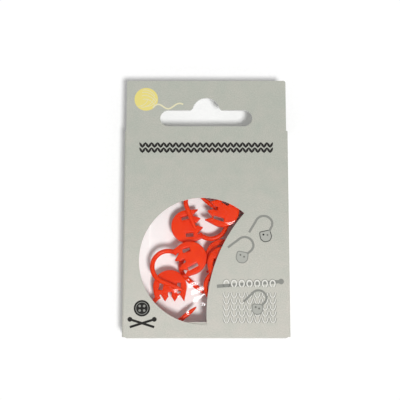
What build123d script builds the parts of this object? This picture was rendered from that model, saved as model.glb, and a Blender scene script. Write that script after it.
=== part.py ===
from build123d import *
import os
from math import atan2, acos, cos, degrees, hypot, radians, sin

# A hanging carton of open stitch markers, lying on its back.
# X runs across the carton, Y from its bottom closure to its header, Z out of its
# front face. The origin is on the back face, under the middle of the outline.
# Every length is in millimetres.

# One marker, in its own frame: crown towards +Y, arm's root on the +X side. Its plan is
# given as shares of the head's radius.
head_radius = 5.75
head_thickness = 2.3
head_edge = 0.35             # bevel of the head's rim
crown_half_share = 0.852
crown_height_share = 0.87
crown_depth_share = 0.452
crown_teeth = 4
loop_share = 0.939           # centre line of the arm's loop, a radius
loop_across_share = 0.157    # the loop's centre from the head's, towards the root
loop_rise_share = 1.374      # and towards the crown
tip_across_share = 1.574     # the arm's tip from the head's middle, away from the root
tip_rise_share = 1.183
taper_share = 0.73           # length of the arm's pointed end
arm_share = 0.7              # arm across its flats, as a share of the head's thickness
arm_sides = 8
arm_point = 0.25             # half thickness left at the very tip
root_turn = -36.0            # where on the loop the arm flexes, in degrees
stub_turn = -78.0            # where the loop is buried in the head
root_gap = 0.12              # relief round the flexing root
latch_width_share = 0.209    # the slot that takes the arm's tip
latch_length_share = 0.652
latch_across_share = 0.539   # from the head's middle, away from the root
latch_rise_share = 0.07
core_width_share = 0.243     # the slanted slot on the root's side
core_length_share = 0.452
core_across_share = 0.522
core_drop_share = 0.035
core_slant = -12.0           # degrees
notch_share = 0.226          # the square end of the crown's middle valley

# Where the markers lie in the pile: middle of the head from the middle of the pile, as
# shares of the head's radius; crown direction in degrees; layer from the back
marker_names = ["front_middle", "lower_left", "upper_left", "upper_right",
                "middle_right", "lower_right", "back_middle"]
lay_across_shares = [-0.765, -1.948, -0.887, 1.183, 1.174, 1.27, 1.0]
lay_along_shares = [0.174, -1.487, 2.148, 3.043, 0.365, -0.122, -0.104]
crown_turns = [-152.2, -90.0, 15.0, 162.5, 0.0, -90.0, -169.9]
marker_layers = [2, 1, 1, 2, 1, 2, 0]
layer_gap = 0.25             # air between markers that lie on one another

# Clear bag round the pile
film = 0.15
bag_width_share = 9.04       # of the head's radius
bag_length_share = 10.32
bag_room = 0.15              # between film and markers, at front and back
bag_corner = 6.0
mouth_inset = 6.0            # each end of the open mouth from the bag's side
mouth_height = 1.2
pile_across_share = -0.0231  # middle of the pile from the bag's, of the bag's width
pile_along_share = 0.4078    # and from its foot, of its length

# Folding carton round the bag: 56.5 wide, 71 high and 10 deep without its header
board = 0.45                 # thickness of the folding board
bag_side_air = 1.81          # bag to each side panel
bag_foot = 1.6               # bottom edge of the carton to the bag
bag_head_air = 10.06         # bag to the top of the carton's body
bag_back_air = 0.1           # bag to the glue flap
bag_front_air = 0.55         # bag to the front panel
header_height = 18.0
header_inset = 0.55          # each side of the header stands in from the body
fold_radius = 0.8            # outside of the four long folds
ply_gap = 0.05               # air between board faces that slide or hinge
header_corner = 0.8
overrun = 1.5                # how far a cutting tool runs past a face

# Hanging slot in the header
slot_length = 32.0
slot_height = 5.8
slot_rise = 1.6              # foot of the header to the slot's lower edge
bump_radius = 4.75
bump_drop = 0.35             # the bump's centre below the slot's upper edge
bump_fillet = 1.3

# Crescent window in the front panel: across as shares of the carton's width, along as
# shares of the body's height
window_share = 0.3823        # radius of its outer circle
window_left_share = 0.4035   # middle of the carton to the window's left limit
window_foot_share = 0.0592   # bottom edge to the window's lower limit
bite_share = 0.931           # radius of the large circle that leaves the crescent
bite_right_share = 0.9327    # that circle's centre, from the middle of the carton
bite_rise_share = 0.1056     # that circle's centre, above the bottom edge

# Closures
tongue_length = 4.5
tongue_corner = 2.2
tongue_inset = 0.7
dust_length = 9.0
dust_relief = 2.1            # room that a dust flap leaves under the tongue
dust_taper = 1.3             # how much a dust flap narrows to its end, each side
dust_corner = 1.0
fold_air = 0.1               # a dust flap's clearance from the closure flap
glue_flap_width = 8.0
glue_flap_setback = 2.5      # its ends from the ends of the side panel
glue_flap_slant = 2.0

os.makedirs("parts", exist_ok=True)

bag_width = bag_width_share * head_radius
bag_length = bag_length_share * head_radius
layer_step = head_thickness + layer_gap
bag_thickness = max(marker_layers) * layer_step + head_thickness + 2 * bag_room + 2 * film
bag_low = board + board + bag_back_air

carton_width = bag_width + 2 * bag_side_air + 2 * board
body_height = bag_foot + bag_length + bag_head_air
carton_depth = bag_low + bag_thickness + bag_front_air + board
half_width = carton_width / 2
flat_half = half_width - fold_radius     # half of the flat between two long folds
foot = -(body_height + header_height) / 2    # the bottom edge, from the origin
front_under = carton_depth - board       # underside of the front panel
ply_under = front_under - board          # underside of the header's back ply
header_half = half_width - header_inset
window_radius = window_share * carton_width


def level(height):
    """A plane facing +Z at a height, its own origin at the middle of the bottom edge."""
    return Plane((0, foot, height))


def section(along):
    """A plane facing -Y at a distance from the bottom edge, seen along +Y."""
    return Plane(origin=(0, foot + along, 0), x_dir=(1, 0, 0), z_dir=(0, -1, 0))


def finish(builder, name):
    """Label a finished piece and write its file."""
    builder.part.label = name
    export_step(builder.part, f"parts/{name}.step")
    print(f"{name:28s} {builder.part.volume:9.2f} mm3")


def hanging_slot(start, tool_height):
    """The hanging slot as a cutter: a long slot with a round bump on its upper side."""
    upper = body_height + slot_rise + slot_height
    with BuildPart(mode=Mode.PRIVATE) as cutter:
        with BuildSketch(level(start)):
            with Locations((0, upper - slot_height / 2)):
                SlotOverall(slot_length, slot_height)
            with Locations((0, upper - bump_drop)):
                Circle(bump_radius)
        extrude(amount=tool_height)
        roots = [e for e in cutter.edges().filter_by(Axis.Z)
                 if abs(e.center().Y - foot - upper) < ply_gap and abs(e.center().X) < bump_radius]
        fillet(roots, bump_fillet)
    return cutter.part


slot_cutter = hanging_slot(ply_under - overrun, 2 * board + 2 * overrun)

# Front panel, carried on as the header's front ply
with BuildPart() as front_panel:
    with BuildSketch(level(front_under)):
        Rectangle(2 * flat_half, body_height, align=(Align.CENTER, Align.MIN))
        with Locations((0, body_height)):
            Rectangle(2 * header_half, header_height, align=(Align.CENTER, Align.MIN))
    extrude(amount=board)
    header_ends = front_panel.edges().filter_by(Axis.Z).group_by(Axis.Y)[-1]
    fillet(header_ends, header_corner)
    with BuildSketch(level(front_under - overrun)):
        with Locations((window_radius - window_left_share * carton_width,
                        window_foot_share * body_height + window_radius)):
            Circle(window_radius)
        with Locations((bite_right_share * carton_width, bite_rise_share * body_height)):
            Circle(bite_share * carton_width, mode=Mode.SUBTRACT)
    extrude(amount=board + 2 * overrun, mode=Mode.SUBTRACT)
    add(slot_cutter, mode=Mode.SUBTRACT)
finish(front_panel, "front_panel")

with BuildPart() as back_panel:
    with BuildSketch(level(0)):
        Rectangle(2 * flat_half, body_height, align=(Align.CENTER, Align.MIN))
    extrude(amount=board)
finish(back_panel, "back_panel")

# Side panels with the long folds along both edges. Between the folds each end is cut
# back, where a dust flap turns in.
dust_outer = board + fold_air                  # outer face of a closed dust flap
side_foot = dust_outer + board + ply_gap
side_head = body_height - 2 * (board + ply_gap)
for side, name in ((-1, "left_side_panel"), (1, "right_side_panel")):
    with BuildPart() as side_panel:
        with BuildSketch(section(0)):
            with Locations((0, carton_depth / 2)):
                RectangleRounded(carton_width, carton_depth, fold_radius)
                RectangleRounded(carton_width - 2 * board, carton_depth - 2 * board,
                                 fold_radius - board, mode=Mode.SUBTRACT)
            with Locations((side * half_width, carton_depth / 2)):
                Rectangle(2 * fold_radius, carton_depth, mode=Mode.INTERSECT)
        extrude(amount=body_height, dir=(0, 1, 0))
        with BuildSketch(level(fold_radius)):
            for start, end in ((-overrun, side_foot), (side_head, body_height + overrun)):
                with Locations((side * half_width, (start + end) / 2)):
                    Rectangle(2 * fold_radius, end - start)
        extrude(amount=carton_depth - 2 * fold_radius, mode=Mode.SUBTRACT)
    finish(side_panel, name)

# Glue flap of the long seam, inside the back panel
with BuildPart() as glue_flap:
    flap_start = board - half_width
    flap_end = flap_start + glue_flap_width
    flap_foot = side_foot + glue_flap_setback
    flap_head = side_head - glue_flap_setback
    with BuildSketch(level(board)):
        with BuildLine():
            Polyline((flap_start, flap_foot), (flap_end, flap_foot + glue_flap_slant),
                     (flap_end, flap_head - glue_flap_slant), (flap_start, flap_head), close=True)
        make_face()
    extrude(amount=board)
    seam_corner = glue_flap.edges().filter_by(Axis.Y).group_by(Axis.X)[0].sort_by(Axis.Z)[0]
    fillet(seam_corner, fold_radius - board)
finish(glue_flap, "glue_flap")

# Top panel: from the back panel's head up to the header's back ply
with BuildPart() as top_panel:
    with BuildSketch(section(body_height)):
        with Locations((0, board)):
            Rectangle(2 * flat_half, ply_under - board,
                      align=(Align.CENTER, Align.MIN))
    extrude(amount=board)
finish(top_panel, "top_panel")

# Header's back ply, glued behind the front ply and cut by the same slot
with BuildPart() as header_back_ply:
    with BuildSketch(level(ply_under)):
        with Locations((0, body_height - board)):
            Rectangle(2 * flat_half, header_height + board,
                      align=(Align.CENTER, Align.MIN))
    extrude(amount=board)
    ply_ends = header_back_ply.edges().filter_by(Axis.Z).group_by(Axis.Y)[-1]
    fillet(ply_ends, header_corner)
    add(slot_cutter, mode=Mode.SUBTRACT)
finish(header_back_ply, "header_back_ply")


def dust_flap(side, outer_face, low, high):
    """A tapered flap folded in from one side panel, as a face-down plate in XZ."""
    root = side * (half_width - ply_gap)
    end = side * (half_width - dust_length)
    with BuildPart(mode=Mode.PRIVATE) as flap:
        with BuildSketch(section(outer_face)):
            with BuildLine():
                Polyline((root, low), (end, low + dust_taper),
                         (end, high - dust_taper), (root, high), close=True)
            make_face()
        extrude(amount=-board)
        tips = flap.edges().filter_by(Axis.Y).group_by(Axis.X)[0 if side > 0 else -1]
        fillet(tips, dust_corner)
    return flap


dust_low = fold_radius + fold_air
top_dust_face = body_height - board - ply_gap - board
for side, word in ((-1, "left"), (1, "right")):
    top_dust = dust_flap(side, top_dust_face, dust_low, ply_under - fold_air)
    finish(top_dust, f"top_dust_flap_{word}")
    bottom_dust = dust_flap(side, dust_outer, dust_low, front_under - board - dust_relief)
    finish(bottom_dust, f"bottom_dust_flap_{word}")

# Bottom closure flap, hinged on the back panel's foot, shut behind the front panel
closure_top = front_under - ply_gap
with BuildPart() as bottom_closure_flap:
    with BuildSketch(section(0)):
        with Locations((0, board + ply_gap)):
            Rectangle(2 * flat_half, closure_top - board - ply_gap,
                      align=(Align.CENTER, Align.MIN))
    extrude(amount=-board)
finish(bottom_closure_flap, "bottom_closure_flap")

# Tuck tongue, creased along the closure flap's free edge
tongue_low = closure_top - board
with BuildPart() as tuck_tongue:
    with BuildSketch(level(tongue_low)):
        with Locations((0, board + ply_gap)):
            Rectangle(2 * (flat_half - tongue_inset), tongue_length,
                      align=(Align.CENTER, Align.MIN))
    extrude(amount=board)
    tongue_tips = tuck_tongue.edges().filter_by(Axis.Z).group_by(Axis.Y)[-1]
    fillet(tongue_tips, tongue_corner)
finish(tuck_tongue, "tuck_tongue")



def pillow(width, length, thickness, start, low, corner):
    """A flat cushion form with steep sloping edges, from a start along Y and a low level."""
    with BuildPart(mode=Mode.PRIVATE) as form:
        with BuildSketch(level(low)):
            with Locations((0, start + length / 2)):
                RectangleRounded(width, length, corner)
        extrude(amount=thickness)
        rim = form.faces().filter_by(Plane.XY).edges()
        chamfer(rim, thickness / 2 - film / 2)
    return form.part


# Clear bag: a thin pillow with an open mouth towards the header
with BuildPart() as clear_bag:
    add(pillow(bag_width, bag_length, bag_thickness, bag_foot, bag_low, bag_corner))
    add(pillow(bag_width - 2 * film, bag_length - 2 * film, bag_thickness - 2 * film,
               bag_foot + film, bag_low + film, bag_corner - film), mode=Mode.SUBTRACT)
    with BuildSketch(section(bag_foot + bag_length + overrun)):
        with Locations((0, bag_low + bag_thickness / 2)):
            Rectangle(bag_width - 2 * mouth_inset, mouth_height)
    extrude(amount=2 * overrun, mode=Mode.SUBTRACT)
finish(clear_bag, "clear_bag")


# The marker's plan in lengths
crown_half = crown_half_share * head_radius
crown_height = crown_height_share * head_radius
loop_radius = loop_share * head_radius
loop_across = loop_across_share * head_radius
loop_rise = loop_rise_share * head_radius
tip_across = tip_across_share * head_radius
tip_rise = tip_rise_share * head_radius
arm_thickness = arm_share * head_thickness
arm_radius = arm_thickness / 2


def on_loop(turn):
    """A point of the arm's loop, at an angle from the loop's own centre."""
    return (loop_across + loop_radius * cos(radians(turn)),
            loop_rise + loop_radius * sin(radians(turn)))


# The straight run leaves the loop where it is tangent towards the tip
whole_turn = 360
tip_x = -tip_across - loop_across
tip_y = tip_rise - loop_rise
leave_turn = degrees(atan2(tip_y, tip_x) - acos(loop_radius / hypot(tip_x, tip_y))) + whole_turn
leave = on_loop(leave_turn)
root_point = on_loop(root_turn)


def bar_section(radius):
    """The arm's eight-sided section, with two of its flats across Z."""
    return RegularPolygon(radius, arm_sides, major_radius=False, rotation=180 / arm_sides)


def marker_head(plane):
    """The head: a round plate with a zigzag crown, slots and the stub of the arm."""
    valley = crown_height - crown_depth_share * head_radius
    pitch = 2 * crown_half / (crown_teeth - 1)
    lean = atan2(crown_height, crown_half) - acos(head_radius / hypot(crown_half, crown_height))
    shoulder = (head_radius * cos(lean), head_radius * sin(lean))
    crown = []
    for tooth in range(crown_teeth):
        across = crown_half - tooth * pitch
        crown.append((across, crown_height))
        if tooth < crown_teeth - 1:
            crown.append((across - pitch / 2, valley))
    with BuildPart(mode=Mode.PRIVATE) as head:
        with BuildSketch(plane.offset(-head_thickness / 2)):
            with BuildLine():
                Polyline(shoulder, *crown, (-shoulder[0], shoulder[1]))
                ThreePointArc((-shoulder[0], shoulder[1]), (0, -head_radius), shoulder)
            make_face()
        extrude(amount=head_thickness)
        rim = [e for e in head.edges() if abs(plane.to_local_coords(e.center()).Z) > arm_radius
               and (e.geom_type == GeomType.CIRCLE
                    or abs(plane.to_local_coords(e.center()).X) > crown_half)]
        chamfer(rim, head_edge)
        with BuildLine(plane) as stub_line:
            Line(on_loop(stub_turn), root_point)
        with BuildSketch(Plane(origin=stub_line.line @ 0, x_dir=plane.z_dir, z_dir=stub_line.line % 0)):
            bar_section(arm_radius)
        sweep(path=stub_line.line)
        with BuildSketch(plane.offset(-head_thickness / 2 - overrun)):
            with Locations(root_point):
                Circle(arm_radius + root_gap)
            with Locations((-latch_across_share * head_radius, latch_rise_share * head_radius)):
                Rectangle(latch_width_share * head_radius, latch_length_share * head_radius)
            with Locations(Location((core_across_share * head_radius, -core_drop_share * head_radius),
                                    core_slant)):
                Rectangle(core_width_share * head_radius, core_length_share * head_radius)
            with Locations((0, valley)):
                Rectangle(notch_share * head_radius, notch_share * head_radius)
        extrude(amount=head_thickness + 2 * overrun, mode=Mode.SUBTRACT)
    return head


def marker_arm(plane):
    """The arm: a bar with a knuckle at its root, one loop and a pointed end."""
    run_x = -tip_across - leave[0]
    run_y = tip_rise - leave[1]
    taper = taper_share * head_radius
    share = 1 - taper / hypot(run_x, run_y)
    shoulder = (leave[0] + share * run_x, leave[1] + share * run_y)
    with BuildPart(mode=Mode.PRIVATE) as arm:
        with BuildLine(plane) as wire:
            CenterArc((loop_across, loop_rise), loop_radius, root_turn, leave_turn - root_turn)
            Line(leave, shoulder)
        with BuildSketch(Plane(origin=wire.line @ 0, x_dir=plane.z_dir, z_dir=wire.line % 0)):
            bar_section(arm_radius)
        sweep(path=wire.line)
        end_plane = Plane(origin=wire.line @ 1, x_dir=plane.z_dir, z_dir=wire.line % 1)
        with BuildSketch(end_plane):
            bar_section(arm_radius)
        with BuildSketch(end_plane.offset(taper)):
            bar_section(arm_point)
        loft()
        with BuildSketch(plane.offset(-arm_radius)):
            with Locations(root_point):
                Circle(arm_radius)
        extrude(amount=arm_thickness)
    return arm


lowest = bag_low + film + bag_room + head_thickness / 2
for index, name in enumerate(marker_names):
    middle = Vector(pile_across_share * bag_width + lay_across_shares[index] * head_radius,
                    bag_foot + pile_along_share * bag_length + lay_along_shares[index] * head_radius)
    seat = level(lowest + marker_layers[index] * layer_step)
    seat = Plane(seat.from_local_coords(middle)).rotated((0, 0, crown_turns[index] - 90))
    finish(marker_head(seat), f"marker_head_{name}")
    finish(marker_arm(seat), f"marker_arm_{name}")
    flex = seat.from_local_coords(Vector(*root_point))
    print(f"  arm flexes at {flex.X:.4f}, {flex.Y:.4f}, {flex.Z:.4f}")
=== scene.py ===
# %% [markdown]
# # A hanging carton of stitch markers
#
# A knitter hangs open plastic markers in the stitches of a row. They are sold in a flat
# folding carton with a slot for a display hook, a crescent window, and a clear bag inside.
# This lesson dresses the CAD model of that pack: board, film and moulded plastic.

# %% Load the CAD frame
import bmesh
import bpy
import numpy as np
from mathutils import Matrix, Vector


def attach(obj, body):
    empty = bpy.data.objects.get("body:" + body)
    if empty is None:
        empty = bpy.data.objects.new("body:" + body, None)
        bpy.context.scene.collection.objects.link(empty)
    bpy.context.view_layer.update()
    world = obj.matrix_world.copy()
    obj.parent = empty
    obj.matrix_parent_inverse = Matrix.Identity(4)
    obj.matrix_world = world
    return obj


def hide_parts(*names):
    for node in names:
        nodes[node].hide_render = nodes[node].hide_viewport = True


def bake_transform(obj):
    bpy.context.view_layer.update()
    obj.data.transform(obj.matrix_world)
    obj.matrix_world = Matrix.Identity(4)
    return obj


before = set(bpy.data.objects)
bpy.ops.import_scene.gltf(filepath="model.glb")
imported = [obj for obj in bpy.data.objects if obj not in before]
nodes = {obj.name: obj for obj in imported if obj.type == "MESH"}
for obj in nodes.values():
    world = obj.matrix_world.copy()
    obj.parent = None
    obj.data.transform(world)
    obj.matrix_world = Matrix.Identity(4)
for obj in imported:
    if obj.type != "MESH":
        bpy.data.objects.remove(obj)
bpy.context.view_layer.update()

# %% [markdown]
# ## Sizes that the pieces share
#
# The CAD part lies on its back: X across, Y up the pack, Z out of its front. The numbers
# here are in millimetres, because a carton is thought of in millimetres, and one factor
# turns them into Blender's metres when a mesh is made.

# %% Sizes in millimetres
MM = 0.001
FOOT = -44.5                 # the bottom edge of the carton in Y
FRONT = 10.0                 # the front face in Z
HEAD_RADIUS = 5.75
HEAD_THICK = 2.3
ARM_RADIUS = 0.8
LOOP_RADIUS = 5.4
LOOP_MIDDLE = np.array([0.9, 7.9])
ARM_TIP = np.array([-9.05, 6.8])
LAYER_LEVEL = (2.45, 5.0, 7.55)

# Each marker: middle of its head from the bottom edge, crown direction in degrees, layer
MARKERS = {
    "front_middle": ((-5.6, 26.8), -152.2, 2),
    "lower_left": ((-12.4, 17.25), -90.0, 1),
    "upper_left": ((-6.3, 38.15), 15.0, 1),
    "upper_right": ((5.6, 43.3), 162.5, 2),
    "middle_right": ((5.55, 27.9), 0.0, 1),
    "lower_right": ((6.1, 25.1), -90.0, 2),
    "back_middle": ((4.55, 25.2), -169.9, 0),
}
print(len(MARKERS), "markers lie in", len(LAYER_LEVEL), "layers")

# %% [markdown]
# ## Meshes from arrays
#
# A surface is a table of points: rows run one way over it and columns the other. Numpy
# fills the whole table at once, and the same two helpers turn any such table into a mesh.

# %% Helpers that turn arrays into meshes
def grid_faces(rows, cols, wrap_rows=False, wrap_cols=False):
    """Quads between neighbours of a table of points; a wrapped side joins last to first."""
    down = np.arange(rows if wrap_rows else rows - 1)[:, None]
    along = np.arange(cols if wrap_cols else cols - 1)[None, :]
    next_down, next_along = (down + 1) % rows, (along + 1) % cols
    quads = [down * cols + along, down * cols + next_along,
             next_down * cols + next_along, next_down * cols + along]
    return np.stack([np.broadcast_to(q, (down.size, along.size)).ravel() for q in quads], 1)


def make_piece(name, points, faces, material, smooth=True, weld=False):
    """A mesh object at the origin, from points in millimetres and lists of corners.
    Welding joins the points that lie on each other, which closes a seam."""
    mesh = bpy.data.meshes.new(name)
    mesh.from_pydata((np.asarray(points, float) * MM).tolist(), [], [list(f) for f in faces])
    if weld:
        joined = bmesh.new()
        joined.from_mesh(mesh)
        bmesh.ops.remove_doubles(joined, verts=joined.verts, dist=0.0002 * MM)
        joined.to_mesh(mesh)
        joined.free()
    mesh.polygons.foreach_set("use_smooth", np.full(len(mesh.polygons), smooth))
    mesh.materials.append(material)
    mesh.validate()
    mesh.update()
    piece = bpy.data.objects.new(name, mesh)
    bpy.context.scene.collection.objects.link(piece)
    return piece


print("a table of 4 by 5 points makes", len(grid_faces(4, 5)), "quads")

# %% [markdown]
# ## Materials
#
# Everything is made of nodes that read Object coordinates, so a pattern stays on its piece
# when the piece moves. A small helper adds a node and sets its inputs by name.

# %% Helpers for node materials
def node(tree, kind, **inputs):
    """A node of that kind; a keyword sets the input of that name, with _ for a space."""
    made = tree.nodes.new(kind)
    for key, value in inputs.items():
        made.inputs[key.replace("_", " ")].default_value = value
    return made


def new_material(name):
    """An empty node material with a Principled shader joined to its output."""
    material = bpy.data.materials.new(name)
    material.use_nodes = True
    tree = material.node_tree
    tree.nodes.clear()
    out = tree.nodes.new("ShaderNodeOutputMaterial")
    shader = tree.nodes.new("ShaderNodeBsdfPrincipled")
    tree.links.new(shader.outputs[0], out.inputs[0])
    return material, tree, shader


def srgb(red, green, blue):
    """A colour given as it looks on a screen, 0 to 255, turned into linear light."""
    value = np.array([red, green, blue]) / 255.0
    linear = np.where(value <= 0.04045, value / 12.92, ((value + 0.055) / 1.055) ** 2.4)
    return (*linear.tolist(), 1.0)


def object_place(tree):
    """The Object coordinates of a piece."""
    return tree.nodes.new("ShaderNodeTexCoord").outputs["Object"]


def noise(tree, place, scale, detail=3.0, rough=0.5):
    """Cloudy noise of a scale per metre, as a value between 0 and 1."""
    made = node(tree, "ShaderNodeTexNoise", Scale=scale, Detail=detail, Roughness=rough)
    tree.links.new(place, made.inputs["Vector"])
    return made.outputs[0]


def spread(tree, value, low, high):
    """A value from 0 to 1 spread between two numbers."""
    made = tree.nodes.new("ShaderNodeMapRange")
    made.inputs["From Min"].default_value = 0.3
    made.inputs["From Max"].default_value = 0.7
    made.inputs["To Min"].default_value = low
    made.inputs["To Max"].default_value = high
    tree.links.new(value, made.inputs["Value"])
    return made.outputs[0]


def mix_colour(tree, factor, first, second, mode="MIX"):
    """Two colours mixed by a factor. A colour may be a socket or a tuple."""
    made = tree.nodes.new("ShaderNodeMix")
    made.data_type = "RGBA"
    made.blend_type = mode
    for place, value in ((0, factor), (6, first), (7, second)):
        socket = made.inputs[place]
        if isinstance(value, bpy.types.NodeSocket):
            tree.links.new(value, socket)
        else:
            socket.default_value = value
    return made.outputs[2]


def math_node(tree, operation, first, second=0.0):
    """One sum of two numbers or sockets."""
    made = tree.nodes.new("ShaderNodeMath")
    made.operation = operation
    for socket, value in zip(made.inputs, (first, second)):
        if isinstance(value, bpy.types.NodeSocket):
            tree.links.new(value, socket)
        else:
            socket.default_value = value
    return made.outputs[0]


print("a screen grey of 188 is", round(srgb(188, 188, 188)[0], 3), "of white in linear light")

# %% [markdown]
# ## Folding board
#
# Cartons are cut from white board that is printed on one side only. So a panel needs two
# finishes: grey print on its outer face, and bare white board on its inner face and along
# every cut edge. The direction of the surface tells them apart. Panels that face the same
# way share one copy of the recipe, with their outer direction.

# %% Board materials
BARE_WHITE = srgb(252, 251, 250)
HALF_ACROSS, HALF_DEEP = 28.0, 5.0         # about half the carton, to tell its sides' outside
# painted light: between these heights in Y the grey pales towards the foot, as a lamp close to the
# lower right would light it
LIGHT_FALLOFF_LOW, LIGHT_FALLOFF_HIGH = -56.0, 34.0          # where the grey starts and ends its fade, in Y


def board_material(name, outward=None):
    """Board printed on the side that faces outward; None means the rounded side panels."""
    material, tree, shader = new_material(name)
    place = object_place(tree)
    facing = tree.nodes.new("ShaderNodeTexCoord").outputs["Normal"]
    dot = tree.nodes.new("ShaderNodeVectorMath")
    dot.operation = "DOT_PRODUCT"
    tree.links.new(facing, dot.inputs[0])
    if outward is None:
        # outwards from the middle line of the carton, which runs along Y
        offset = tree.nodes.new("ShaderNodeVectorMath")
        offset.operation = "SUBTRACT"
        offset.inputs[1].default_value = (0.0, 0.0, FRONT / 2 * MM)
        flat = tree.nodes.new("ShaderNodeVectorMath")
        flat.operation = "MULTIPLY"
        flat.inputs[1].default_value = (1 / (HALF_ACROSS * MM), 0.0, 1 / (HALF_DEEP * MM))
        tree.links.new(place, offset.inputs[0])
        tree.links.new(offset.outputs[0], flat.inputs[0])
        tree.links.new(flat.outputs[0], dot.inputs[1])
    else:
        dot.inputs[1].default_value = outward
    printed = math_node(tree, "GREATER_THAN", dot.outputs["Value"], 0.3)
    fine = noise(tree, place, 2900.0, 3.0, 0.7)
    cloud = noise(tree, place, 230.0, 4.0, 0.6)
    fibre = noise(tree, place, 1900.0, 4.0, 0.65)
    # the grey is palest at the foot and deepest at the top, as in the photograph: painted light, the
    # fall-off of a lamp close to the lower right of the pack. That the print fades is a guess: a
    # lamp close to the pack would look much the same
    rise = tree.nodes.new("ShaderNodeSeparateXYZ")
    tree.links.new(place, rise.inputs[0])
    painted_falloff = tree.nodes.new("ShaderNodeMapRange")
    painted_falloff.interpolation_type = "SMOOTHERSTEP"
    painted_falloff.inputs["From Min"].default_value = LIGHT_FALLOFF_LOW * MM
    painted_falloff.inputs["From Max"].default_value = LIGHT_FALLOFF_HIGH * MM
    tree.links.new(rise.outputs[1], painted_falloff.inputs["Value"])
    grey = mix_colour(tree, painted_falloff.outputs[0], srgb(212, 209, 203), srgb(190, 191, 184))
    warm = mix_colour(tree, spread(tree, cloud, 0.0, 1.0), srgb(242, 246, 241), srgb(253, 251, 247))
    grey = mix_colour(tree, 1.0, grey, warm, "MULTIPLY")
    speck = mix_colour(tree, spread(tree, fine, 0.0, 1.0), srgb(222, 223, 222), srgb(255, 255, 255))
    grey = mix_colour(tree, 1.0, grey, speck, "MULTIPLY")
    white = mix_colour(tree, spread(tree, fibre, 0.0, 1.0), srgb(248, 246, 245), BARE_WHITE)
    tree.links.new(mix_colour(tree, printed, white, grey), shader.inputs["Base Color"])
    tree.links.new(spread(tree, fine, 0.5, 0.68), shader.inputs["Roughness"])
    shader.inputs["Specular IOR Level"].default_value = 0.35
    bump = node(tree, "ShaderNodeBump", Strength=0.16, Distance=0.00004)
    tree.links.new(fibre, bump.inputs["Height"])
    tree.links.new(bump.outputs[0], shader.inputs["Normal"])
    return material


OUTWARD = {
    "front_panel": (0, 0, 1), "header_back_ply": (0, 0, -1), "back_panel": (0, 0, -1),
    "glue_flap": (0, 0, -1), "tuck_tongue": (0, 0, 1), "top_panel": (0, 1, 0),
    "bottom_closure_flap": (0, -1, 0), "top_dust_flap_left": (0, 1, 0),
    "top_dust_flap_right": (0, 1, 0), "bottom_dust_flap_left": (0, -1, 0),
    "bottom_dust_flap_right": (0, -1, 0), "left_side_panel": None, "right_side_panel": None,
}
board_kinds = {}
for panel, outward in OUTWARD.items():
    if outward not in board_kinds:
        board_kinds[outward] = board_material(f"board_{len(board_kinds)}", outward)
    panel_mesh = nodes[panel].data
    panel_mesh.materials.clear()
    panel_mesh.materials.append(board_kinds[outward])
print(len(OUTWARD), "panels share", len(board_kinds), "board materials")

# %% [markdown]
# ## Printed artwork
#
# The print is a layer of ink on the front face, cut here as flat shapes: a ball of yarn, a
# border of knit stitches, a button with two needles, and small drawings of open markers and
# of knitting on its needle. Two faces in one plane would flicker, so each shape stands a
# hair above the one before it, from a hundredth to a sixth of a millimetre off the board.

# %% Ink helpers
INK_LIFT = 0.012             # the lowest ink above the board
INK_STEP = 0.0004            # each shape above the one before it
DISC_POINTS = 64


class Ink:
    """Collects flat shapes on the front face and makes one piece of them."""

    def __init__(self):
        """Starts without any shapes."""
        self.points, self.faces, self.count = [], [], 0

    def take(self, plane_points, faces, lift=0.0):
        """Adds points in X and Y, measured from the bottom edge, and their faces."""
        level = FRONT + INK_LIFT + lift + INK_STEP * len(self.points)
        flat = np.column_stack([plane_points[:, 0], plane_points[:, 1] + FOOT,
                                np.full(len(plane_points), level)])
        self.points.append(flat)
        self.faces += [[i + self.count for i in face] for face in faces]
        self.count += len(flat)

    def disc(self, middle, radius, lift=0.0, squash=1.0):
        """A filled disc: its rim is the cosine and sine of one full turn."""
        turn = np.linspace(0, 2 * np.pi, DISC_POINTS, endpoint=False)
        rim = np.column_stack([middle[0] + radius * np.cos(turn),
                               middle[1] + squash * radius * np.sin(turn)])
        self.take(rim, [range(DISC_POINTS)], lift)

    def stroke(self, path, width, lift=0.0, closed=False):
        """A pen line: each point of the path is moved half a width to both sides."""
        path = np.asarray(path, float)
        ahead = np.roll(path, -1, 0) - np.roll(path, 1, 0)
        if not closed:
            ahead[0], ahead[-1] = path[1] - path[0], path[-1] - path[-2]
        side = np.column_stack([-ahead[:, 1], ahead[:, 0]])
        side *= (width / 2) / np.maximum(np.linalg.norm(side, axis=1), 1e-9)[:, None]
        both = np.stack([path + side, path - side], 1).reshape(-1, 2)
        self.take(both, grid_faces(len(path), 2, wrap_rows=closed).tolist(), lift)

    def leaf(self, middle, length, width, tilt):
        """A filled leaf: its half width is the sine of how far along it a point lies."""
        t = np.linspace(0, 1, 12)
        half, along = width / 2 * np.sin(np.pi * t), (t - 0.5) * length
        right, left = np.column_stack([half, along]), np.column_stack([-half, along])
        rim = np.concatenate([right, left[::-1][1:-1]])
        c, s = np.cos(np.radians(tilt)), np.sin(np.radians(tilt))
        self.take(rim @ np.array([[c, s], [-s, c]]) + middle, [range(len(rim))])

    def piece(self, name, material):
        """The finished layer, riding on the carton."""
        made = make_piece(name, np.concatenate(self.points), self.faces, material, smooth=False)
        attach(made, "carton")
        return made


def ink_material(name, colour, worn):
    """Matt offset ink, broken up a little by the board's grain."""
    material, tree, shader = new_material(name)
    place = object_place(tree)
    grain = noise(tree, place, 4200.0, 3.0, 0.6)
    ink = mix_colour(tree, spread(tree, grain, 0.0, 1.0), colour, worn)
    tree.links.new(ink, shader.inputs["Base Color"])
    tree.links.new(spread(tree, grain, 0.45, 0.6), shader.inputs["Roughness"])
    shader.inputs["Specular IOR Level"].default_value = 0.12
    return material


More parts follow.
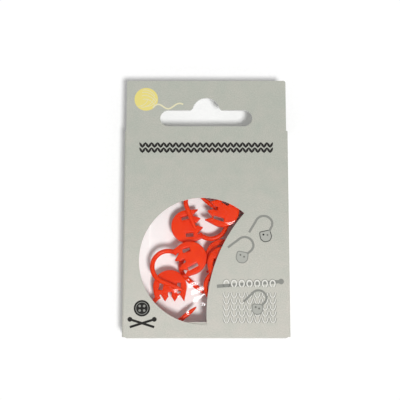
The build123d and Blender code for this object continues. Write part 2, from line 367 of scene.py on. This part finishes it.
def arc(middle, radius, start, end, count=40, squash=1.0, tilt=0.0):
    """Points on part of an ellipse: cosine and sine between two angles in degrees, tilted."""
    turn = np.radians(np.linspace(start, end, count))
    x, y = radius * np.cos(turn), squash * radius * np.sin(turn)
    c, s = np.cos(np.radians(tilt)), np.sin(np.radians(tilt))
    return np.column_stack([middle[0] + c * x - s * y, middle[1] + s * x + c * y])


print("lowest ink at", FRONT + INK_LIFT, "mm, half circles of", len(arc((0, 0), 1, 0, 180)), "points")

# %% [markdown]
# ### A ball of yarn
#
# A ball reads as wound yarn when a few arcs cross it in two directions. Each arc is part of an
# ellipse, tilted. The loose strand is a sine wave that flattens towards its end.

# %% A ball of yarn and its loose strand
black_ink = ink_material("black_ink", srgb(26, 25, 24), srgb(44, 43, 41))
yellow_ink = ink_material("yellow_ink", srgb(219, 205, 118), srgb(226, 213, 134))
pale_ink = ink_material("pale_ink", srgb(222, 217, 184), srgb(214, 209, 175))
grey_ink = ink_material("grey_ink", srgb(132, 133, 128), srgb(146, 147, 141))
tint_ink = ink_material("tint_ink", srgb(166, 167, 160), srgb(176, 177, 170))
white_ink = ink_material("white_ink", srgb(226, 225, 219), srgb(216, 215, 208))

ball, strands = Ink(), Ink()
ball_middle, ball_radius = np.array([-20.9, 82.3]), 4.1
ball.disc(ball_middle, ball_radius)
t = np.linspace(0, 1, 60)
loose = np.column_stack([-18.6 + 10.6 * t, 79.3 + 1.1 * np.sin(9.0 * t) * (1 - 0.4 * t) + 0.9 * t])
strands.stroke(loose, 0.55, 0.01)
for shift in (-0.5, -0.15, 0.2, 0.55):
    middle = ball_middle + [0.6, shift * 3.2]
    strands.stroke(arc(middle, 3.0 - abs(shift), 20, 160, squash=0.55, tilt=-28), 0.22, 0.006)
for shift in (-0.45, 0.0, 0.45):
    middle = ball_middle + [shift * 3.4, -0.6]
    strands.stroke(arc(middle, 2.9 - abs(shift), 200, 335, squash=0.6, tilt=38), 0.22, 0.006)
ball.piece("print_yarn_ball", yellow_ink)
strands.piece("print_yarn_strands", pale_ink)
print("yarn:", len(ball.points), "ball and", len(strands.points), "strands")

# %% [markdown]
# ### A border of stitches
#
# Knitting seen from its right side is rows of stitches, each of two leaves that lean apart.
# Two rows, one nested in the other, make a border that reads as knitted fabric.

# %% A border of knit stitches
border = Ink()
stitch_pitch = 2.1
stitch_count = 22
for up in (64.1, 65.9):
    for column in range(stitch_count):
        x = (column - (stitch_count - 1) / 2) * stitch_pitch
        for side in (-1, 1):
            border.leaf(np.array([x + side * 0.5, up]), 2.35, 0.82, -28 * side)
border.piece("print_stitch_border", black_ink)
print("border:", len(border.points), "leaves in two rows of", stitch_count, "stitches")

# %% [markdown]
# ### A button and needles
#
# Discs, a ring and straight pen lines are enough. The four holes are smaller discs in paler ink,
# lifted a little more, so that no two faces share one plane.

# %% A button over two needles
button, button_marks = Ink(), Ink()
button_middle, button_radius = np.array([-21.6, 9.6]), 2.75
button.disc(button_middle, button_radius)
for across, up in ((-1, -1), (-1, 1), (1, -1), (1, 1)):
    button_marks.disc(button_middle + 0.75 * np.array([across, up]), 0.42, 0.006)
button_marks.stroke(arc(button_middle, 2.05, 0, 354, 60), 0.2, 0.006, closed=True)
for end, knob in (((-25.6, 3.3), (-17.4, 5.9)), ((-17.4, 3.3), (-25.6, 5.9))):
    button.stroke(np.linspace(end, knob, 8), 0.8)
    button.disc(knob, 0.8)
button.piece("print_button", black_ink)
button_marks.piece("print_button_marks", grey_ink)
print("button and needles:", len(button.points), "dark shapes,", len(button_marks.points), "pale")

# %% [markdown]
# ### Rounded corners
#
# Printed and moulded shapes rarely have sharp corners. Cutting each corner and bending the cut
# through a short curve rounds any outline, so one helper serves the print and the plastic.

# %% Rounded corners
def soften(corners, radius, steps=5):
    """Each corner becomes a short curve: a blend of its two cut points and itself,
    weighted (1-t) squared, 2t(1-t) and t squared."""
    corners = np.asarray(corners, float)
    back, ahead = np.roll(corners, 1, 0) - corners, np.roll(corners, -1, 0) - corners
    cut = lambda d: corners + d / np.linalg.norm(d, axis=1)[:, None] * np.minimum(
        radius, 0.45 * np.linalg.norm(d, axis=1))[:, None]
    t = np.linspace(0, 1, steps)[None, :, None]
    start, middle, end = cut(back)[:, None], corners[:, None], cut(ahead)[:, None]
    curve = (1 - t) ** 2 * start + 2 * t * (1 - t) * middle + t ** 2 * end
    return curve.reshape(-1, 2)


print("a triangle with rounded corners has", len(soften([[0, 0], [4, 0], [0, 3]], 0.5)), "points")

# %% [markdown]
# ### Line pictures
#
# Each picture is built from the same strokes: a filled tag with a thick hook, and knitting as
# white loops with thin dark lines beside them. White under dark keeps the lines legible.

# %% Drawings of open markers, and of knitting on its needle
tints, whites, drawings, marks = Ink(), Ink(), Ink(), Ink()


def turned(points, middle, size, tilt):
    """Points turned by an angle in degrees, made larger and moved."""
    c, s = np.cos(np.radians(tilt)), np.sin(np.radians(tilt))
    return np.asarray(points) @ np.array([[c, s], [-s, c]]) * size + middle


def draw_marker(middle, size, tilt, line=0.34, lift=0.0):
    """A small picture of an open marker: a thick hooked arm over a rounded, filled tag."""
    tag = soften([[-0.62, 0.5], [0.62, 0.5], [0.66, -0.35], [0.3, -0.75],
                  [-0.3, -0.75], [-0.66, -0.35]], 0.22)
    hook = np.concatenate([[[0.5, 0.35], [0.95, 0.9]], arc((0.08, 1.25), 0.98, 0, 148, 30),
                           [[-1.35, 1.15], [-1.75, 0.7]]])
    tints.take(turned(tag, middle, size, tilt), [range(len(tag))[::-1]], lift)
    drawings.stroke(turned(tag, middle, size, tilt), line, lift, closed=True)
    drawings.stroke(turned(hook, middle, size, tilt), line * 2.3, lift)
    for dot in ([-0.22, 0.12], [0.22, -0.02]):
        marks.disc(turned([dot], middle, size, tilt)[0], 0.32, lift)


draw_marker(np.array([20.2, 34.4]), 3.0, 12.0)
draw_marker(np.array([12.2, 27.2]), 3.0, -10.0)
drawings.stroke(np.linspace([3.6, 17.0], [25.2, 18.6], 12), 1.15)
drawings.disc((25.3, 18.6), 0.95)
knit_columns, knit_rows = 7, 5
for column in range(knit_columns):
    x = 6.3 + 2.6 * column
    whites.stroke(arc((x + 0.5, 17.9), 0.85, -70, 250, 24, squash=1.3), 0.5)
    marks.stroke(arc((x + 0.5, 17.9), 1.14, -55, 235, 24, squash=1.3), 0.13)
    for row in range(knit_rows):
        y = 14.4 - 2.1 * row
        for side in (-1, 1):
            leg = arc((x + 0.5 + side * 0.16, y + 1.1), 0.8, 270, 270 + side * 74, 10, squash=2.9)
            whites.stroke(leg, 0.44)
            marks.stroke(leg + [side * 0.24, -0.12], 0.15)
            marks.stroke(leg[3:] + [side * -0.22, 0.16], 0.11)
draw_marker(np.array([17.2, 9.6]), 2.7, -4.0, line=0.3, lift=0.09)
whites.piece("print_knit_sample", white_ink)
tints.piece("print_tints", tint_ink)
drawings.piece("print_drawings", grey_ink)
marks.piece("print_marks", ink_material("fine_ink", srgb(104, 105, 100), srgb(122, 123, 117)))

# %% [markdown]
# ## Moulded markers
#
# A marker is moulded in one shot: a flat head with a zigzag crown, two small slots and a
# square notch, and an arm that springs from one corner, loops over and ends in a point. The
# head is an outline with holes, given a thickness and a rounded rim. The arm is a round
# profile carried along a path. The mould leaves a soft gloss with faint flow marks.

# %% Plastic material
def plastic_material():
    """Orange polypropylene: a saturated base, light cloudiness, faint flow marks."""
    material, tree, shader = new_material("orange_plastic")
    place = object_place(tree)
    cloud = noise(tree, place, 350.0, 3.0, 0.5)
    flow = noise(tree, place, 2600.0, 2.0, 0.5)
    tint = mix_colour(tree, spread(tree, cloud, 0.0, 1.0), srgb(238, 53, 0), srgb(249, 68, 6))
    tree.links.new(tint, shader.inputs["Base Color"])
    tree.links.new(spread(tree, flow, 0.26, 0.36), shader.inputs["Roughness"])
    shader.inputs["Specular IOR Level"].default_value = 0.2
    shader.inputs["Subsurface Weight"].default_value = 0.2
    shader.inputs["Subsurface Radius"].default_value = (0.0016, 0.0004, 0.0001)
    shader.inputs["Subsurface Scale"].default_value = 1.0
    bump = node(tree, "ShaderNodeBump", Strength=0.1, Distance=0.00003)
    tree.links.new(flow, bump.inputs["Height"])
    tree.links.new(bump.outputs[0], shader.inputs["Normal"])
    # light that soaks through the thin plastic comes out deep red
    glow = node(tree, "ShaderNodeBsdfTranslucent", Color=srgb(250, 40, 4))
    both = node(tree, "ShaderNodeMixShader", Fac=0.22)
    tree.links.new(shader.outputs[0], both.inputs[1])
    tree.links.new(glow.outputs[0], both.inputs[2])
    tree.links.new(both.outputs[0], tree.nodes["Material Output"].inputs[0])
    return material


plastic = plastic_material()
print("plastic:", len(plastic.node_tree.nodes), "nodes")

# %% [markdown]
# ### The head's outline
#
# The head is a circle with one side cut off in a zigzag. The straight sides touch the
# circle, so the angle at which they leave it follows from its radius and the crown's corner.

# %% The head's outline and slots
CROWN_HALF, CROWN_TOP, CROWN_VALLEY = 4.9, 5.0, 2.4
TOOTH_PITCH = 2 * CROWN_HALF / 3
NOTCH = 0.65


def head_outline():
    """A circle whose crown side is cut off in a zigzag of four teeth."""
    corner = np.hypot(CROWN_HALF, CROWN_TOP)
    lean = np.arctan2(CROWN_TOP, CROWN_HALF) - np.arccos(HEAD_RADIUS / corner)
    slope = (CROWN_TOP - CROWN_VALLEY) / (TOOTH_PITCH / 2)
    shelf = CROWN_VALLEY + NOTCH
    right = [(CROWN_HALF, CROWN_TOP), (CROWN_HALF - TOOTH_PITCH / 2, CROWN_VALLEY),
             (CROWN_HALF - TOOTH_PITCH, CROWN_TOP), (NOTCH / slope, shelf), (NOTCH, shelf),
             (NOTCH, CROWN_VALLEY - NOTCH)]
    left = [(-x, y) for x, y in right[::-1]]
    turn = np.linspace(np.pi - lean, 2 * np.pi + lean, 90)
    base = HEAD_RADIUS * np.column_stack([np.cos(turn), np.sin(turn)])
    ends = np.concatenate([base[-1:], right + left, base[:1]])
    return np.concatenate([soften(ends, 0.32)[5:-5], base])


def slot_outline(middle, width, length, tilt):
    """A small rectangle with softened corners, turned by an angle in degrees."""
    half = np.array([[1, 1], [-1, 1], [-1, -1], [1, -1]]) * (width / 2, length / 2)
    c, s = np.cos(np.radians(tilt)), np.sin(np.radians(tilt))
    return soften(half, 0.16) @ np.array([[c, s], [-s, c]]) + middle


outlines = [head_outline(), slot_outline((-3.1, 0.4), 1.2, 3.75, 0.0),
            slot_outline((3.0, -0.2), 1.4, 2.6, -12.0)]
print("head outline has", len(outlines[0]), "points and", len(outlines) - 1, "slots")

# %% [markdown]
# ### From outline to plate
#
# A filled 2D curve cuts the slots out by itself, and its extrude and bevel give thickness and a
# rounded rim. It becomes a mesh at once, and only its points and faces are kept.

# %% The head as a thick plate with a rounded rim
RIM = 0.34


def plate_mesh(loops):
    """A filled 2D curve of closed loops, made thick and bevelled, as arrays."""
    curve = bpy.data.curves.new("plate", "CURVE")
    curve.dimensions = "2D"
    curve.fill_mode = "BOTH"
    curve.extrude = HEAD_THICK / 2 - RIM
    curve.bevel_depth = RIM
    curve.bevel_resolution = 3
    curve.offset = -RIM
    for loop in loops:
        spline = curve.splines.new("POLY")
        spline.points.add(len(loop) - 1)
        spline.points.foreach_set("co", np.column_stack(
            [loop, np.zeros(len(loop)), np.ones(len(loop))]).ravel())
        spline.use_cyclic_u = True
    holder = bpy.data.objects.new("plate", curve)
    bpy.context.scene.collection.objects.link(holder)
    bpy.context.view_layer.update()
    graph = bpy.context.evaluated_depsgraph_get()
    mesh = bpy.data.meshes.new_from_object(holder.evaluated_get(graph))
    points = np.empty(len(mesh.vertices) * 3)
    mesh.vertices.foreach_get("co", points)
    faces = [list(p.vertices) for p in mesh.polygons]
    bpy.data.objects.remove(holder)
    return points.reshape(-1, 3), faces


plate_points, plate_faces = plate_mesh(outlines)
print("head plate:", len(plate_points), "points,", len(plate_faces), "faces")

# %% [markdown]
# ### Seats in the pile
#
# Every marker is the same moulding. One function turns and moves its points to each place, so
# the objects themselves stay at the origin, unturned and unscaled.

# %% Where a marker lies
def seat(points, name):
    """Points in a marker's own frame turned and moved to where that marker lies."""
    (across, up), crown, layer = MARKERS[name]
    turn = np.radians(crown - 90.0)
    c, s = np.cos(turn), np.sin(turn)
    points = np.asarray(points, float)
    return np.column_stack([across + c * points[:, 0] - s * points[:, 1],
                            up + FOOT + s * points[:, 0] + c * points[:, 1],
                            LAYER_LEVEL[layer] + points[:, 2]])


print("the front marker's head lies at", seat([[0, 0, 0]], "front_middle")[0].round(2))

# %% [markdown]
# ### The arm
#
# A path and a radius make a tube: at each point of the path a circle is set square to it. The
# radius falls off as a sine towards the tip, which gives the arm its point.

# %% The arm as a round profile along its loop
ARM_START = -62.0            # where on its loop the arm leaves the head, in degrees
TAPER_RUN = 4.4              # length of the arm's pointed end
TIP_SHARE = 0.34             # of the arm's radius, left at its tip
SHARP_TURN = 38.0            # degrees between faces that count as an edge


def arm_table(rings=120, sides=20):
    """Circles of a shrinking radius, set square to a path: an arc, then a straight run."""
    reach = ARM_TIP - LOOP_MIDDLE
    leave = np.arctan2(reach[1], reach[0]) - np.arccos(LOOP_RADIUS / np.hypot(*reach)) + 2 * np.pi
    turn = np.linspace(np.radians(ARM_START), leave, rings)
    loop = LOOP_MIDDLE + LOOP_RADIUS * np.column_stack([np.cos(turn), np.sin(turn)])
    straight = loop[-1] + np.linspace(0, 1, 41)[1:, None] * (ARM_TIP - loop[-1])
    path = np.concatenate([loop, straight])
    ahead = np.gradient(path, axis=0)
    side = np.column_stack([-ahead[:, 1], ahead[:, 0]])
    side /= np.linalg.norm(side, axis=1)[:, None]
    left = np.linalg.norm(path - ARM_TIP, axis=1)
    left[:rings] = np.inf
    swell = np.sin(np.clip(left / TAPER_RUN, 0, 1) * np.pi / 2)
    radius = ARM_RADIUS * np.clip(TIP_SHARE + (1 - TIP_SHARE) * swell, 0, 1)
    radius[-3:] *= (0.9, 0.7, 0.35)
    angle = np.linspace(0, 2 * np.pi, sides, endpoint=False)
    ring = radius[:, None, None]
    table = np.zeros((len(path), sides, 3))
    table[..., :2] = path[:, None] - ring * side[:, None] * np.cos(angle)[None, :, None]
    table[..., 2] = ring[..., 0] * np.sin(angle)[None, :]
    return table


arm = arm_table()
arm_faces = grid_faces(arm.shape[0], arm.shape[1], wrap_cols=True)[:, ::-1].tolist()
arm_faces.append(list(range(arm.shape[1])))
last = (arm.shape[0] - 1) * arm.shape[1]
arm_faces.append([last + i for i in range(arm.shape[1])][::-1])
for name in MARKERS:
    head = make_piece(f"head_{name}", seat(plate_points, name), plate_faces, plastic, weld=True)
    head.data.set_sharp_from_angle(angle=np.radians(SHARP_TURN))
    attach(head, "carton")
    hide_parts(f"marker_head_{name}")
    wire = make_piece(f"arm_{name}_wire", seat(arm.reshape(-1, 3), name), arm_faces, plastic)
    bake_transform(wire)
    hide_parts(f"marker_arm_{name}")
print("markers moulded:", len(MARKERS))

# %% [markdown]
# ## Clear bag
#
# The markers lie in a bag of thin glossy film. It is a shell with a front and a back sheet
# that meet in a seam on three sides and stay open at the mouth. The pile holds the sheets
# apart, and crinkles catch the light where a facet of the film leans towards the lamp.

# %% Film material
def film_material():
    """Clear film: light passes straight through, and the surface mirrors a little of it."""
    material, tree, shader = new_material("clear_film")
    out = tree.nodes["Material Output"]
    tree.nodes.remove(shader)
    place = object_place(tree)
    clear = tree.nodes.new("ShaderNodeBsdfTransparent")
    gloss = node(tree, "ShaderNodeBsdfGlossy", Roughness=0.1)
    # the mirrored share is small face on and grows with the fifth power of the slant
    slant = node(tree, "ShaderNodeLayerWeight", Blend=0.5)
    steep = math_node(tree, "POWER", slant.outputs["Facing"], 5.0)
    share = math_node(tree, "MULTIPLY", steep, 0.35)
    haze = spread(tree, noise(tree, place, 420.0, 3.0, 0.6), 0.008, 0.014)
    share = math_node(tree, "ADD", share, haze)
    both = tree.nodes.new("ShaderNodeMixShader")
    tree.links.new(share, both.inputs[0])
    tree.links.new(clear.outputs[0], both.inputs[1])
    tree.links.new(gloss.outputs[0], both.inputs[2])
    bump = node(tree, "ShaderNodeBump", Strength=0.25, Distance=0.00005)
    tree.links.new(noise(tree, place, 700.0, 2.0, 0.5), bump.inputs["Height"])
    tree.links.new(bump.outputs[0], gloss.inputs["Normal"])
    tree.links.new(both.outputs[0], out.inputs[0])
    return material


clear_film = film_material()
print("film:", len(clear_film.node_tree.nodes), "nodes")

# %% [markdown]
# ### Crinkled sheets
#
# Creased film is flat facets that meet in ridges. Most of the sheet is a sum of sharpened
# waves. A few facets are given the slope that mirrors the lamp, and those shine.

# %% The bag's two sheets
BAG_HALF, BAG_FOOT, BAG_TOP = 25.9, 1.7, 60.9
SEAM_LEVEL = 4.4
BACK_LEVEL, FRONT_LEVEL = 1.15, 8.8        # the two sheets where the pile holds them apart
FRONT_LIMIT = 9.42                         # just under the front panel
MOUTH_START = 50.0                         # from here up the sheets close in on each other
BACK_SEAM = -12.6                          # a welded line down the back sheet

# Facets of the front sheet: middle, half sizes, turn in degrees, level, share of LEAN
FACETS = [
    ((-3.4, 15.6), (2.9, 4.6), 24.0, 9.0, 1.0),
    ((-1.0, 11.2), (0.8, 2.2), 30.0, 9.0, 1.0),
    ((-6.2, 8.4), (0.9, 2.0), 16.0, 8.9, 1.0),
    ((8.4, 39.0), (2.4, 0.95), 12.0, 9.1, 1.0),
    ((-10.6, 15.6), (2.2, 1.3), -40.0, 8.9, 0.86),
    ((3.9, 13.4), (0.5, 1.8), 8.0, 8.9, 1.0),
    ((4.6, 24.4), (1.0, 2.6), 20.0, 8.9, 0.86),
    ((-14.3, 29.5), (0.3, 5.2), -6.0, 8.9, 0.95),
    ((-12.6, 22.0), (0.28, 4.0), 4.0, 8.9, 0.95),
    ((-6.9, 40.5), (0.3, 4.4), 3.0, 8.9, 0.88),
    ((1.6, 41.2), (1.7, 0.9), 35.0, 8.9, 0.86),
    ((-16.8, 16.0), (0.3, 3.0), -28.0, 8.9, 0.85),
]
LEAN = np.array([-0.111, 0.249])      # how a facet slopes when it mirrors the lamp
RIDGE = 2.6


def crinkle(x, y):
    """Folds of the film: the size of a few tilted waves, sharpened at their crests."""
    draw = np.random.default_rng(7)
    total = np.zeros_like(x)
    for wave in range(9):
        turn = draw.uniform(0, np.pi)
        length = draw.uniform(5.0, 13.0)
        phase = draw.uniform(0, 2 * np.pi)
        bow = draw.uniform(-0.012, 0.012)
        along = x * np.cos(turn) + y * np.sin(turn)
        across = -x * np.sin(turn) + y * np.cos(turn)
        ridge = 1 - np.abs(np.sin(np.pi * (along + bow * across ** 2) / length + phase))
        total += ridge ** 3 * draw.uniform(0.05, 0.16)
    return total


def sheet_height(x, y, front):
    """Height of a sheet: from the seam level up or down to the pile, with its crinkles."""
    middle, half = (BAG_FOOT + BAG_TOP) / 2, (BAG_TOP - BAG_FOOT) / 2
    wide = np.clip(1 - np.abs(x / BAG_HALF) ** 10, 0, 1) ** 0.4
    below = np.clip(1 - np.abs(np.minimum(y - middle, 0) / half) ** 14, 0, 1) ** 0.4
    above = 1 - 0.62 * np.clip((y - MOUTH_START) / (BAG_TOP - MOUTH_START), 0, 1) ** 1.5
    shape = wide * below * above
    if not front:
        seam = 0.22 * np.exp(-((x - BACK_SEAM) / 0.16) ** 2)
        sunk = SEAM_LEVEL - (SEAM_LEVEL - BACK_LEVEL) * shape
        return sunk + (0.3 * crinkle(-x, y) + seam) * shape
    height = SEAM_LEVEL + (FRONT_LEVEL - SEAM_LEVEL) * shape + 0.75 * crinkle(x, y) * shape
    height = np.minimum(height, FRONT_LIMIT)
    for middle_xy, half_xy, turn, level, share in FACETS:
        c, s = np.cos(np.radians(turn)), np.sin(np.radians(turn))
        dx, dy = x - middle_xy[0], y - middle_xy[1]
        u, v = (c * dx + s * dy) / half_xy[0], (-s * dx + c * dy) / half_xy[1]
        round_it = np.arctan2(v, u)
        ragged = 1 + 0.22 * np.sin(3 * round_it + 40 * level) + 0.1 * np.sin(7 * round_it)
        mask = 1 / (1 + np.exp((np.hypot(u, v) - ragged) * 16.0))
        # the slope climbs for one ridge, then drops back over a narrow crease
        climb = (LEAN[0] * dx + LEAN[1] * dy) / (np.hypot(*LEAN) * RIDGE) + 0.5
        part = climb - np.floor(climb)
        saw = np.where(part < 0.9, part / 0.9 - 0.5, 0.5 - (part - 0.9) / 0.1)
        plane = level + share * saw * 0.9 * RIDGE * np.hypot(*LEAN)
        height = height * (1 - mask) + plane * mask
    return height


def bag_table(across=180, along=215):
    """Points round the bag for each step along it: the front sheet, then back below it."""
    x = BAG_HALF * np.sin(np.linspace(-np.pi / 2, np.pi / 2, across))
    y = np.linspace(BAG_FOOT, BAG_TOP, along)
    grid_x, grid_y = np.meshgrid(x, y)
    front = np.stack([grid_x, grid_y + FOOT, sheet_height(grid_x, grid_y, True)], -1)
    back = np.stack([grid_x, grid_y + FOOT, sheet_height(grid_x, grid_y, False)], -1)
    return np.concatenate([front, back[:, ::-1][:, 1:-1]], axis=1)


bag = bag_table()
bag_faces = grid_faces(bag.shape[0], bag.shape[1], wrap_cols=True)
film = make_piece("bag_film", bag.reshape(-1, 3), bag_faces.tolist(), clear_film, weld=True)
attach(film, "carton")
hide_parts("clear_bag")
print("bag film:", len(film.data.polygons), "faces, z from", bag[..., 2].min().round(2),
      "to", bag[..., 2].max().round(2))

# %% [markdown]
# ## Light, floor and camera
#
# One soft lamp stands high to the lower right and one even sky fills the shadows. The floor
# is white paper. The camera stands a little below the bottom edge and looks down on the pack.

# %% World and lamp
scene = bpy.context.scene
scene.view_settings.view_transform = "Standard"
LIGHT_FROM = np.array([0.22, -0.42, 1.0])
SKY = 0.40
LAMP_ENERGY, LAMP_SPREAD = 2.35, 11.0      # watts per square metre, degrees across

world = bpy.data.worlds.new("studio")
scene.world = world
world.use_nodes = True
sky = world.node_tree
sky.nodes.clear()
sky_out = sky.nodes.new("ShaderNodeOutputWorld")
backdrop_light = node(sky, "ShaderNodeBackground", Color=(1, 1, 1, 1), Strength=1.0)
fill_light = node(sky, "ShaderNodeBackground", Color=(1, 1, 1, 1), Strength=SKY)
ray = sky.nodes.new("ShaderNodeLightPath")
mirrored = math_node(sky, "MAXIMUM", ray.outputs["Is Glossy Ray"],
                     ray.outputs["Is Transmission Ray"])
seen = math_node(sky, "MAXIMUM", ray.outputs["Is Camera Ray"], mirrored)
sky_mix = sky.nodes.new("ShaderNodeMixShader")
sky.links.new(seen, sky_mix.inputs[0])
sky.links.new(fill_light.outputs[0], sky_mix.inputs[1])
sky.links.new(backdrop_light.outputs[0], sky_mix.inputs[2])
sky.links.new(sky_mix.outputs[0], sky_out.inputs[0])

sun_data = bpy.data.lights.new("key", "SUN")
sun_data.energy = LAMP_ENERGY
sun_data.angle = np.radians(LAMP_SPREAD)
sun = bpy.data.objects.new("key", sun_data)
scene.collection.objects.link(sun)
sun.rotation_mode = "QUATERNION"
sun.rotation_quaternion = Vector(LIGHT_FROM.tolist()).to_track_quat("Z", "Y")
print("lamp from", LIGHT_FROM, "and a sky of", SKY)

# %% [markdown]
# ### Paper floor
#
# The floor must look pure white and still hold the shadow. A pale diffuse surface takes the
# shadow, and a faint glow that only the camera and reflections see lifts the lit part to white.

# %% Floor
FLOOR_REACH, FLOOR_LEVEL, FLOOR_GLOW = 2500.0, -0.02, 0.085

floor_material, tree, shader = new_material("white_paper")
tree.nodes.remove(shader)
place = object_place(tree)
paper = node(tree, "ShaderNodeBsdfDiffuse")
tree.links.new(mix_colour(tree, spread(tree, noise(tree, place, 900.0), 0.0, 1.0),
                          (0.86, 0.86, 0.86, 1), (0.88, 0.88, 0.88, 1)), paper.inputs["Color"])
glow = node(tree, "ShaderNodeEmission")
ray = tree.nodes.new("ShaderNodeLightPath")
mirrored = math_node(tree, "MAXIMUM", ray.outputs["Is Glossy Ray"],
                     ray.outputs["Is Transmission Ray"])
seen = math_node(tree, "MAXIMUM", ray.outputs["Is Camera Ray"], mirrored)
tree.links.new(math_node(tree, "MULTIPLY", seen, FLOOR_GLOW), glow.inputs["Strength"])
both = tree.nodes.new("ShaderNodeAddShader")
tree.links.new(paper.outputs[0], both.inputs[0])
tree.links.new(glow.outputs[0], both.inputs[1])
tree.links.new(both.outputs[0], tree.nodes["Material Output"].inputs[0])
corners = [[x * FLOOR_REACH, y * FLOOR_REACH, FLOOR_LEVEL]
           for x, y in ((-1, -1), (1, -1), (1, 1), (-1, 1))]
floor = make_piece("floor", corners, [[0, 1, 2, 3]], floor_material, smooth=False)
print("floor:", 2 * FLOOR_REACH * MM, "m across")

# %% [markdown]
# ### Camera
#
# The taper of the carton tells how close the camera was, and the position of its middle tells
# the small sideways shift. Both were fitted to the edges of the pack in the photograph.

# %% Camera
PIXELS = 400.0
FOCAL, CENTRE_ACROSS, CENTRE_DOWN = 1039.3, 6.2, -0.8     # in pixels of the photograph
CAMERA_AT, CAMERA_TILT = (0.0, -0.0625, 0.360), 10.5      # in metres, and in degrees
camera_data = bpy.data.cameras.new("camera")
camera_data.sensor_width = 36.0
camera_data.lens = FOCAL / PIXELS * camera_data.sensor_width
camera_data.shift_x = -CENTRE_ACROSS / PIXELS
camera_data.shift_y = CENTRE_DOWN / PIXELS
camera_data.clip_start, camera_data.clip_end = 0.01, 20.0
camera = bpy.data.objects.new("camera", camera_data)
scene.collection.objects.link(camera)
camera.location = CAMERA_AT
camera.rotation_euler = (np.radians(CAMERA_TILT), 0.0, 0.0)
scene.camera = camera
print("camera at", tuple(round(v, 4) for v in camera.location))

# %% [markdown]
#

# %% Finish
print("boxes written, for", len(nodes), "CAD nodes")
